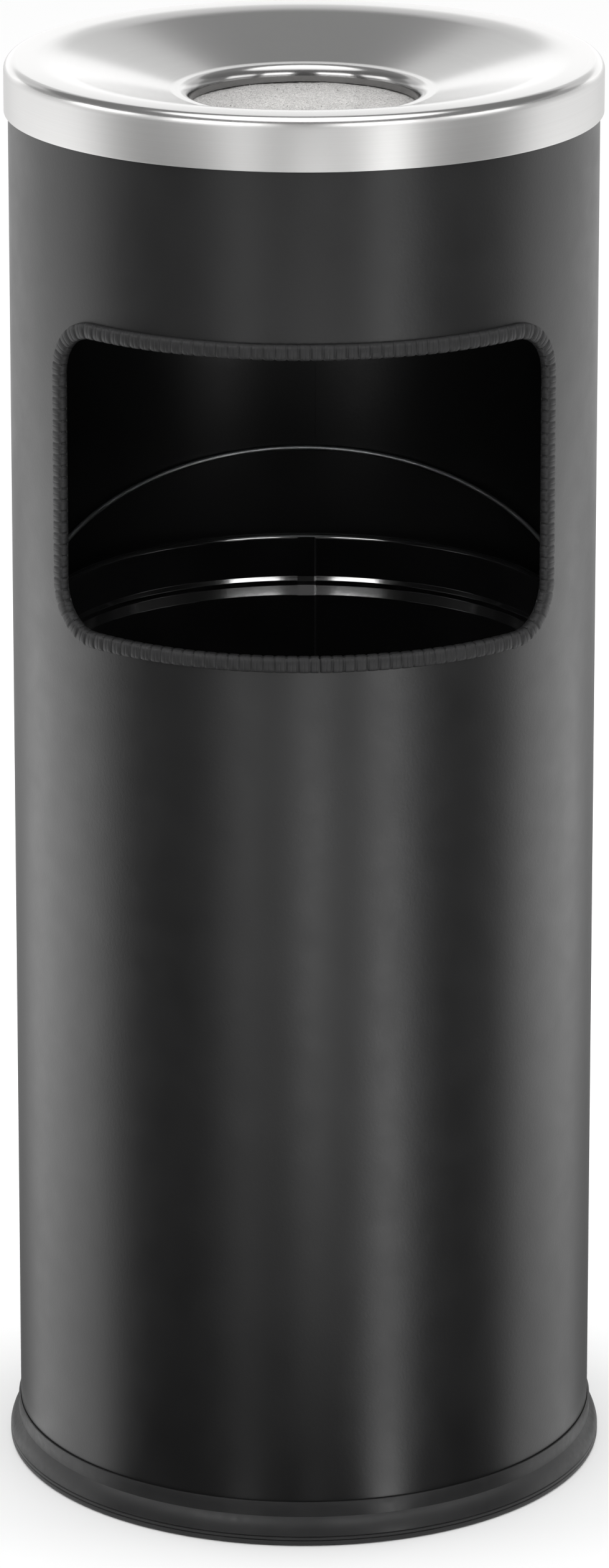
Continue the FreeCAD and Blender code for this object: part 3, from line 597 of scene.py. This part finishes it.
# ---------------------------------------------------------------------------------------------------
# Floor ring
# ---------------------------------------------------------------------------------------------------
def ring_profile():
    """Channel round the shell's foot, with an upright lip, a round shoulder and two fine grooves."""
    shoulder = []
    centre_radius, centre_height, rounding = 114.9, 1.9, 15.2
    first, span, steps = 12, 29.5, 14
    for step in range(steps + 1):
        angle = math.radians(first + span * step / steps)
        shoulder.append((
            centre_radius + rounding * math.cos(angle),
            centre_height + rounding * math.sin(angle),
        ))
    grooves = []
    for height in (2.6, 4.2):
        grooves += [
            (129.9, height - 0.35), (129.72, height - 0.22), (129.45, height),
            (129.72, height + 0.22), (129.88, height + 0.35),
        ]
    lip = [(126.3, 13.4), (126.25, 14.4), (126.25, 18.2), (126.13, 18.5), (125.9, 18.6), (125.5, 18.6)]
    inside = [
        (125.36, 18.45), (125.36, 3.0), (123.35, 3.0), (123.35, 9.7), (123.05, 10.0),
        (121.9, 10.0), (121.6, 9.7), (121.6, 0.4), (122.0, 0.0),
    ]
    foot = [(128.6, 0.0), (129.3, 0.25), (129.72, 0.75), (129.88, 1.4)]
    return foot + grooves + shoulder + lip + inside


settle(
    joined("floor_ring_moulding", [lathe(ring_profile())]),
    PLASTIC, "shell", ("floor_ring",),
)


# ---------------------------------------------------------------------------------------------------
# Edge trim
# ---------------------------------------------------------------------------------------------------
# The trim's section in pairs: out from the shell's outer face, and into the opening from its cut edge.
# First the rounded outside, then the slot that grips the sheet.
TRIM_ROUND = [
    (0.08, -5.40), (1.10, -5.35), (1.95, -4.75), (2.38, -3.70), (2.50, -2.30), (2.42, -0.95),
    (2.05, 0.35), (1.30, 1.25), (0.30, 1.60), (-0.85, 1.55), (-1.80, 1.05), (-2.40, 0.05),
    (-2.60, -1.50), (-2.55, -3.20), (-2.25, -4.60), (-1.60, -5.30), (-0.88, -5.40),
]
TRIM_SLOT = [(-0.85, -5.0), (-0.85, -0.06), (0.05, -0.06), (0.05, -5.0)]
RIB_PITCH = 4.87
RIB_DEPTH = 0.36
GROOVE_HALF = 0.85
RIB_CROWN = 0.16
HALF_WAY_DEPTH = 0.10
HALF_WAY_HALF = 0.50
STATIONS_PER_RIB = 24
# Number of points at each edge of the rounded profile over which the ribs fade out
RIB_FADE = 6
# The butt joint: its place at the bottom, the gap each side of it, and how the ends are rounded off
JOINT_AT = SHELL_OUT * math.radians(2.9)
JOINT_GAP = 0.30
END_ROUNDING, END_REACH = 0.12, 0.4
# How far, and over what length, the trim wanders in and out along the cut edge
WANDER, WANDER_LENGTH = 0.16, 37.0


def smooth_line(points, steps):
    """A Catmull-Rom line through points."""
    line = []
    last = len(points) - 1
    for index in range(last):
        before = Vector(points[max(index - 1, 0)])
        start, end = Vector(points[index]), Vector(points[index + 1])
        after = Vector(points[min(index + 2, last)])
        for step in range(steps):
            t = step / steps
            line.append(0.5 * (
                2 * start + (end - before) * t + (2 * before - 5 * start + 4 * end - after) * t**2
                + (3 * start - before - 3 * end + after) * t**3
            ))
    line.append(Vector(points[last]))
    return line


def soft_dip(away, half):
    """1 in the middle of a dip, easing to 0 at half its width."""
    return 0.5 + 0.5 * math.cos(math.pi * min(1.0, away / half))


def rib_relief(along):
    """Depth of the profile at a distance along the trim: grooves, faint half-way lines, crowned pads."""
    place = along / RIB_PITCH
    from_groove = abs(place - round(place)) * RIB_PITCH
    from_half = RIB_PITCH / 2 - from_groove
    crown = RIB_CROWN * (2 * from_half / RIB_PITCH) ** 2
    return (
        RIB_DEPTH * soft_dip(from_groove, GROOVE_HALF)
        + HALF_WAY_DEPTH * soft_dip(from_half, HALF_WAY_HALF) + crown
    )


def rib_stations(length):
    """Places along the trim, in even steps through every rib."""
    count = round(length / RIB_PITCH * STATIONS_PER_RIB)
    return [length * station / count for station in range(count + 1)]


def make_trim():
    """The ribbed profile swept round the cut edge, from one side of its butt joint to the other."""
    length = outline.length - 2 * JOINT_GAP
    rounded = smooth_line(TRIM_ROUND, 3)
    normals = []
    for index in range(len(rounded)):
        run = rounded[min(index + 1, len(rounded) - 1)] - rounded[max(index - 1, 0)]
        normals.append(Vector((run.y, -run.x)).normalized())
    section = len(rounded) + len(TRIM_SLOT)
    points, faces = [], []
    stations = rib_stations(length)
    for station in stations:
        arc, height, out_arc, out_height = outline.at(JOINT_AT + JOINT_GAP + station)
        relief = rib_relief(station)
        end = min(station, length - station)
        relief += END_ROUNDING * max(0.0, 1 - end / END_REACH) ** 2
        wander = WANDER * noise.noise(Vector((station / WANDER_LENGTH, 3.1, 0.0)))
        for index, place in enumerate(rounded):
            from_edge = min(index, len(rounded) - 1 - index)
            depth = relief * min(1.0, from_edge / RIB_FADE)
            out = place.x - normals[index].x * depth
            inward = place.y - normals[index].y * depth + wander
            points.append(on_column(
                arc - out_arc * inward, height - out_height * inward, SHELL_OUT + out
            ))
        for out, inward in TRIM_SLOT:
            points.append(on_column(
                arc - out_arc * inward, height - out_height * inward, SHELL_OUT + out
            ))
    for ring in range(len(stations) - 1):
        for index in range(section):
            following = (index + 1) % section
            low, high = ring * section, (ring + 1) * section
            faces.append((low + index, high + index, high + following, low + following))
    faces.append(tuple(range(section)))
    faces.append(tuple(reversed(range(len(points) - section, len(points)))))
    return make_mesh("edge_trim_ribbed", points, faces, sharp_angle=50.0)


settle(make_trim(), RUBBER, "shell", ("edge_trim",))


# ---------------------------------------------------------------------------------------------------
# Lid, ash pan and sand
# ---------------------------------------------------------------------------------------------------
def lid_profile():
    """Skirt, round corner, flat rim, dish and the lip rolled into the hole, as a sheet with both faces."""
    corner, lip = (122.6, 615.4), (53.5, 600.9)
    skirt_out, skirt_in, skirt_low = 127.0, 126.2, 597.75
    rim_top, rim_under = 620.0, 619.2
    hole_out, hole_in, hole_low = 49.3, 48.5, 598.85
    upper = [
        (skirt_out, skirt_low, 0.12), *ellipse_arc(corner, 4.4, 4.6, 0, 90, 16),
        (108.68, rim_top, 48.0), (56.0, 605.9, 8.0),
        *ellipse_arc(lip, 5.0, 5.0, 90, 180, 18), (hole_in, hole_low, 0.0),
    ]
    lower = [
        (hole_out, hole_low, 0.0), *ellipse_arc(lip, 4.2, 4.2, 180, 90, 12),
        (56.1, 605.1, 7.2), (108.78, rim_under, 47.2),
        *ellipse_arc(corner, 3.6, 3.8, 90, 0, 10), (skirt_in, skirt_low, 0.12),
    ]
    bottom = [(126.35, 597.6, 0.1), (126.9, 597.6, 0.1)]
    return softened(upper + lower + bottom, steps=12)


settle(
    joined("ash_lid_pressing", [lathe(lid_profile(), turns=400)], sharp_angle=60.0),
    STAINLESS, "lid", ("ash_lid",),
)


def pan_profile():
    """Pan with its hanging flange."""
    wall_out, wall_in, flange_edge = 120.0, 119.2, 124.9
    floor_under, floor_top = 555.0, 555.8
    flange_under, flange_top = 618.3, 619.1
    return softened([
        (0.0, floor_under, 0), (wall_out, floor_under, 8.0), (wall_out, flange_under, 0.4),
        (flange_edge, flange_under, 0.2), (flange_edge, flange_top, 0.75), (wall_in, flange_top, 1.2),
        (wall_in, floor_top, 7.2), (0.0, floor_top, 0),
    ], steps=8)


settle(
    joined("ash_pan_pressing", [lathe(pan_profile(), closed=False)]),
    GALVANISED, "pan", ("ash_pan",),
)


def make_sand():
    """Levelled sand with an uneven surface, and loose coarser grains on top."""
    rings, low = 110, 556.0
    surface = [(0.0, SAND_LEVEL)]
    surface += [(SAND_EDGE * (ring + 1) / rings, SAND_LEVEL) for ring in range(rings)]
    below = [
        (SAND_EDGE, low + 7.0), (SAND_EDGE - 2.2, low + 2.2), (SAND_EDGE - 7.0, low), (0.0, low),
    ]
    points, faces = lathe(surface + below, closed=False)
    shaped = []
    for x, y, z in points:
        if z > SAND_LEVEL - 1:
            for wave in SAND_WAVES:
                z += unevenness(x, y, wave)
        shaped.append((x, y, z))
    draw = random.Random(7)
    grain_count, grain_reach = 2600, 118.0
    parts = [(shaped, [tuple(reversed(face)) for face in faces])]
    for _ in range(grain_count):
        radius = grain_reach * math.sqrt(draw.random())
        angle = draw.uniform(0, 2 * math.pi)
        x, y = radius * math.cos(angle), radius * math.sin(angle)
        z = SAND_LEVEL + unevenness(x, y, SAND_WAVES[0])
        parts.append(grain((x, y, z), draw.uniform(0.22, 0.46), draw))
    return joined("quartz_sand_bed", parts)


def unevenness(x, y, wave):
    """Height of one wave of the sand's surface at a place."""
    height, size, layer = wave
    return height * noise.noise(Vector((x / size, y / size, layer)))


def grain(centre, size, draw):
    """A six-cornered grain."""
    corners = []
    for axis in range(3):
        for sign in (-1, 1):
            corner = [draw.uniform(-0.25, 0.25) * size for _ in range(3)]
            corner[axis] += sign * size * draw.uniform(0.7, 1.2)
            corners.append(tuple(c + offset for c, offset in zip(centre, corner)))
    faces = []
    for x in (0, 1):
        for y in (2, 3):
            for z in (4, 5):
                face = (x, y, z)
                flip = (x == 1) ^ (y == 3) ^ (z == 5)
                faces.append(face if flip else tuple(reversed(face)))
    return corners, faces


settle(make_sand(), SAND, "pan", ("quartz_sand",))


# ---------------------------------------------------------------------------------------------------
# Bucket
# ---------------------------------------------------------------------------------------------------
def bucket_profile():
    """Wall with the step and bead, and the rim rolled outwards over its wire."""
    sheet = 0.5
    lower_wall, upper_wall, bead = 107.9, 109.5, 108.5
    inside = [
        (lower_wall, 14.0, 0), (lower_wall, 352.2, 1.5), (upper_wall, 356.6, 1.0), (bead, 358.6, 0.9),
        (upper_wall, 360.6, 1.2),
    ]
    turn, wire = (111.7, 377.8), (110.9, 378.65)
    rolled = [
        (upper_wall, 377.6, 0), *ellipse_arc(turn, 2.2, 2.2, 180, 95, 12),
        *ellipse_arc(wire, 1.35, 1.35, 65, -90, 14), *ellipse_arc(wire, 0.87, 0.87, -90, 85, 12),
        *ellipse_arc(turn, 1.7, 1.7, 110, 180, 8),
    ]
    outside = [(radius + sheet, height, rounding) for radius, height, rounding in reversed(inside)]
    return softened(inside + rolled + outside, steps=6)


settle(
    joined("bucket_wall_rolled", [lathe(bucket_profile())], sharp_angle=55.0),
    GLOSS_WALL, "bucket", ("bucket_wall",),
)


def make_rivets():
    """Domed rivets through the ears' flanges."""
    height, spread = 367.5, 10.6
    bucket_out, head = 110.0, 2.6
    wall = math.sqrt(bucket_out**2 - spread**2)
    dome = [(0.0, 2.3)]
    for degrees in range(10, 91, 10):
        angle = math.radians(degrees)
        dome.append((head * math.sin(angle), 1.35 + 0.95 * math.cos(angle)))
    dome += [
        (head, 1.15), (1.45, 1.1), (1.45, -0.75), (2.5, -0.8), (2.45, -1.15), (1.4, -1.5), (0.0, -1.55),
    ]
    parts = []
    for side in (-1, 1):
        for along in (-1, 1):
            points, faces = lathe(dome, closed=False, turns=28)
            turned = [
                (side * (wall + z), along * spread + y * side, height + x) for x, y, z in points
            ]
            parts.append((turned, [tuple(reversed(face)) for face in faces]))
    return joined("ear_rivets_domed", parts)


settle(make_rivets(), RIVET, "bucket", ("ear_rivets",))


# ---------------------------------------------------------------------------------------------------
# Bail handle
# ---------------------------------------------------------------------------------------------------
def make_bail():
    """Bent wire: a pin with an upset head at each ear, a short bend and a tall arch between."""
    wire, head = 1.1, 2.0
    half, reach, bend = 118.8, 132.4, 3.0
    head_at = 111.5
    lean = math.radians(67.6)
    half_route = [(head_at + along, 0.0) for along in (0.0, 0.35, 0.8, 1.15, 1.3, 2.4)]
    half_route.append((half - bend, 0.0))
    half_radii = [head * 0.72, head * 0.95, head, head * 0.86, wire, wire, wire]
    bend_steps = 8
    for step in range(1, bend_steps + 1):
        angle = math.pi / 2 * step / bend_steps
        half_route.append((half - bend + bend * math.sin(angle), bend - bend * math.cos(angle)))
        half_radii.append(wire)
    steps = 70
    for step in range(1, steps + 1):
        angle = math.pi / 2 * step / steps
        half_route.append((half * math.cos(angle), bend + (reach - bend) * math.sin(angle)))
        half_radii.append(wire)
    route = half_route + [(-x, up) for x, up in reversed(half_route[:-1])]
    radii = half_radii + list(reversed(half_radii[:-1]))
    path = [
        (x, up * math.sin(lean), PIVOT_HEIGHT + up * math.cos(lean)) for x, up in route
    ]
    return joined("bail_wire_bent", [tube(path, radii)])


settle(make_bail(), WIRE, "bail", ("bail_handle",))


# ---------------------------------------------------------------------------------------------------
# CAD nodes whose shape stays
# ---------------------------------------------------------------------------------------------------
KEPT = {
    "shell_seam_weld": COAT,
    "shell_floor": COAT,
    "trim_carrier": SHADE_DARK_STEEL,
    "bucket_floor": GLOSS,
    "bucket_lap_seam": GLOSS_WALL,
    "bucket_rim_wire": SHADE_DARK_STEEL,
    "handle_ear_right": PLATE,
    "handle_ear_left": PLATE,
}
for node_name, finish in KEPT.items():
    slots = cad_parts[node_name].material_slots
    for material_slot in slots:
        material_slot.material = finish


# ---------------------------------------------------------------------------------------------------
# Floor, light and camera
# ---------------------------------------------------------------------------------------------------
def make_floor():
    """A level sheet, 18 metres across."""
    reach = 9000.0
    floor = make_mesh(
        "studio_floor",
        [(-reach, -reach, 0), (reach, -reach, 0), (reach, reach, 0), (-reach, reach, 0)],
        [(0, 1, 2, 3)],
    )
    floor.data.materials.append(pale_floor())


def softbox(name, centre, target, width, height, radiance):
    """A rectangular light for matt surfaces, given by how bright its face is; glossy ones see the tent."""
    light = bpy.data.lights.new(name, "AREA")
    light.shape = "RECTANGLE"
    light.size, light.size_y = width, height
    light.energy = radiance * math.pi * width * height
    holder = bpy.data.objects.new(name, light)
    bpy.context.scene.collection.objects.link(holder)
    holder.location = centre
    direction = Vector(target) - Vector(centre)
    holder.rotation_euler = direction.to_track_quat("-Z", "Y").to_euler()
    holder.visible_camera = False
    holder.visible_glossy = False


# The light tent: rings on the floor round the column, then a low, a middle and a high wall.
FLOOR_RINGS = 22
TENT_RADIUS, NEAR_RADIUS, FLOOR_LEVEL = 1700.0, 140.0, 2.0
WALL_TOPS = (600.0, 1100.0, 1650.0)
FLOOR_STOPS = (250.0, 600.0, 1000.0, 1600.0)
# How bright the tent is between its fields: at the floor's four stops, then on the three walls.
TENT_DARK = (0.05, 0.08, 0.11, 0.13, 0.24, 0.15, 0.20)
# Its bright fields: from and to in degrees (0 is towards the camera, + towards +X), the soft edge before
# and after, brightness, and how strongly each of the same seven places shows it.
TENT_FIELDS = [
    (-130, -94, 18, 22, 2.5, (0.62, 0.82, 0.98, 1.00, 0.38, 0.30, 0.10)),
    (-50, -16, 3, 3, 6.0, (0.00, 0.00, 0.00, 0.00, 0.00, 0.00, 1.00)),
    (-24, -19, 9, 2.5, 2.8, (0.16, 0.50, 0.95, 1.00, 0.50, 0.00, 0.00)),
    (1, 6, 3.5, 3.5, 12.5, (0.02, 0.20, 0.72, 0.40, 0.00, 0.00, 0.00)),
    (14, 42, 3, 3, 6.0, (0.00, 0.00, 0.00, 0.00, 0.00, 0.00, 1.00)),
    (29, 36, 2.5, 5, 6.2, (0.58, 0.88, 1.00, 1.00, 0.38, 0.00, 0.00)),
    (56, 85, 5, 5, 3.2, (0.00, 0.00, 0.00, 0.00, 0.00, 0.00, 1.00)),
    (-97, -67, 5, 5, 3.2, (0.00, 0.00, 0.00, 0.00, 0.00, 0.00, 1.00)),
    (99, 128, 18, 20, 2.5, (0.52, 0.70, 0.92, 1.00, 0.36, 0.30, 0.10)),
    (142, 218, 14, 14, 1.32, (0.15, 0.20, 0.25, 0.40, 0.50, 0.94, 0.48)),
]
CEILING_RADIUS, CEILING_HEIGHT, CEILING_GLOW = 900.0, 2300.0, 2.2


def mirrored(azimuth, distance):
    """Direction in which the column's side throws a level ray that passes this place, in degrees."""
    low, high = 0.0, math.pi / 2
    while high - low > 0.0005:
        side = (low + high) / 2
        inwards = SHELL_OUT * math.cos(side)
        run = math.sqrt(inwards**2 + distance**2 - SHELL_OUT**2) - inwards
        x = SHELL_OUT * math.sin(side) + run * math.sin(2 * side)
        y = SHELL_OUT * math.cos(side) + run * math.cos(2 * side)
        if math.atan2(x, y) < math.radians(abs(azimuth)):
            low = side
        else:
            high = side
    return math.copysign(math.degrees(2 * low), azimuth)


def floor_share(values, distance):
    """A field's strength on the floor at a distance, between the values at the four stops."""
    if distance <= FLOOR_STOPS[0]:
        return values[0]
    for stop in range(len(FLOOR_STOPS) - 1):
        start, end = FLOOR_STOPS[stop:stop + 2]
        if distance <= end:
            part = (distance - start) / (end - start)
            return values[stop] + (values[stop + 1] - values[stop]) * part
    return values[len(FLOOR_STOPS) - 1]


def tent_glow(azimuth, shown):
    """Brightness of the tent in a direction; shown(values) picks the strength at this place."""
    glow = shown(TENT_DARK)
    for start, end, before, after, brightness, places in TENT_FIELDS:
        past_start = (azimuth - start + 180) % 360 - 180
        past_end = (azimuth - end + 180) % 360 - 180
        inside = (azimuth - start) % 360 <= end - start
        if inside:
            part = 1.0
        elif -before < past_start < 0:
            part = 1 + past_start / before
        elif 0 < past_end < after:
            part = 1 - past_end / after
        else:
            continue
        glow += brightness * shown(places) * part * part * (3 - 2 * part)
    return glow


def make_tent():
    """A light tent that only reflections see: what a glossy column mirrors of the studio round it."""
    sectors = 240
    growth = (TENT_RADIUS / NEAR_RADIUS) ** (1 / FLOOR_RINGS)
    floor = [(NEAR_RADIUS * growth**ring, FLOOR_LEVEL) for ring in range(FLOOR_RINGS + 1)]
    walls = [(TENT_RADIUS, top) for top in WALL_TOPS]
    ceiling = [(CEILING_RADIUS, CEILING_HEIGHT), (0.0, CEILING_HEIGHT)]
    tent = joined("light_tent", [
        lathe(floor + walls, closed=False, turns=sectors), lathe(ceiling, closed=False, turns=sectors),
    ])
    glow = tent.data.attributes.new("glow", "FLOAT", "FACE")
    for face in tent.data.polygons:
        level, sector = divmod(face.index, sectors)
        azimuth = (360 * (sector + 0.5) / sectors + 180) % 360 - 180
        if level < FLOOR_RINGS:
            distance = NEAR_RADIUS * growth ** (level + 0.5)
            value = tent_glow(mirrored(azimuth, distance), lambda v: floor_share(v, distance))
        elif level < FLOOR_RINGS + len(walls):
            value = tent_glow(azimuth, lambda v: v[len(FLOOR_STOPS) + level - FLOOR_RINGS])
        else:
            value = CEILING_GLOW
        glow.data[face.index].value = value
    material = bpy.data.materials.new("light_tent")
    material.use_nodes = True
    nodes, links = material.node_tree.nodes, material.node_tree.links
    nodes.clear()
    source = nodes.new("ShaderNodeAttribute")
    source.attribute_name = "glow"
    emission = nodes.new("ShaderNodeEmission")
    output = nodes.new("ShaderNodeOutputMaterial")
    links.new(source.outputs["Fac"], emission.inputs["Strength"])
    links.new(emission.outputs[0], output.inputs["Surface"])
    tent.data.materials.append(material)
    tent.visible_camera = False
    tent.visible_diffuse = False
    tent.visible_shadow = False
    tent.visible_transmission = False
    tent.visible_volume_scatter = False


ROOM_GLOW = 0.26


def make_world():
    """White to the camera, an even fill for matt surfaces and a dim room above the tent for glossy ones."""
    world = bpy.data.worlds.new("studio")
    bpy.context.scene.world = world
    world.use_nodes = True
    nodes, links = world.node_tree.nodes, world.node_tree.links
    background = nodes["Background"]
    seen = nodes.new("ShaderNodeLightPath")
    reflected = nodes.new("ShaderNodeMapRange")
    reflected.inputs["To Min"].default_value = 1.0
    reflected.inputs["To Max"].default_value = ROOM_GLOW
    direct = nodes.new("ShaderNodeMix")
    links.new(seen.outputs["Is Glossy Ray"], reflected.inputs["Value"])
    links.new(reflected.outputs["Result"], direct.inputs["A"])
    direct.inputs["B"].default_value = 1.0
    links.new(seen.outputs["Is Camera Ray"], direct.inputs["Factor"])
    links.new(direct.outputs["Result"], background.inputs["Strength"])
    background.inputs["Color"].default_value = (1.0, 1.0, 1.0, 1.0)


def make_light():
    """The world, the tent and three softboxes: one overhead, and a pair beside the bin."""
    make_world()
    make_tent()
    softbox("overhead", (0, -0.2, 2.6), (0, 0, 0.6), 2.4, 2.4, 0.9)
    for name, side in (("left_panel", -1.6), ("right_panel", 1.6)):
        softbox(name, (side, 0.4, 0.9), (0, 0, 0.7), 1.8, 1.8, 1.2)


CAMERA_PLACE = (0.0002, -2.800, 1.190)
CAMERA_DOWN = 13.69
SENSOR, LENS, SHIFT = 36.0, 155.3, -0.3


def make_camera():
    """A long lens from the front, above the bin and looking down at it by CAMERA_DOWN degrees."""
    camera = bpy.data.objects.new("camera", bpy.data.cameras.new("camera"))
    bpy.context.scene.collection.objects.link(camera)
    camera.data.sensor_width = SENSOR
    camera.data.lens = LENS
    camera.data.shift_y = SHIFT
    camera.data.clip_end = 100.0
    camera.location = CAMERA_PLACE
    camera.rotation_euler = (math.radians(90 - CAMERA_DOWN), 0, 0)
    bpy.context.scene.camera = camera


make_floor()
make_light()
make_camera()
bpy.context.scene.view_settings.view_transform = "Standard"
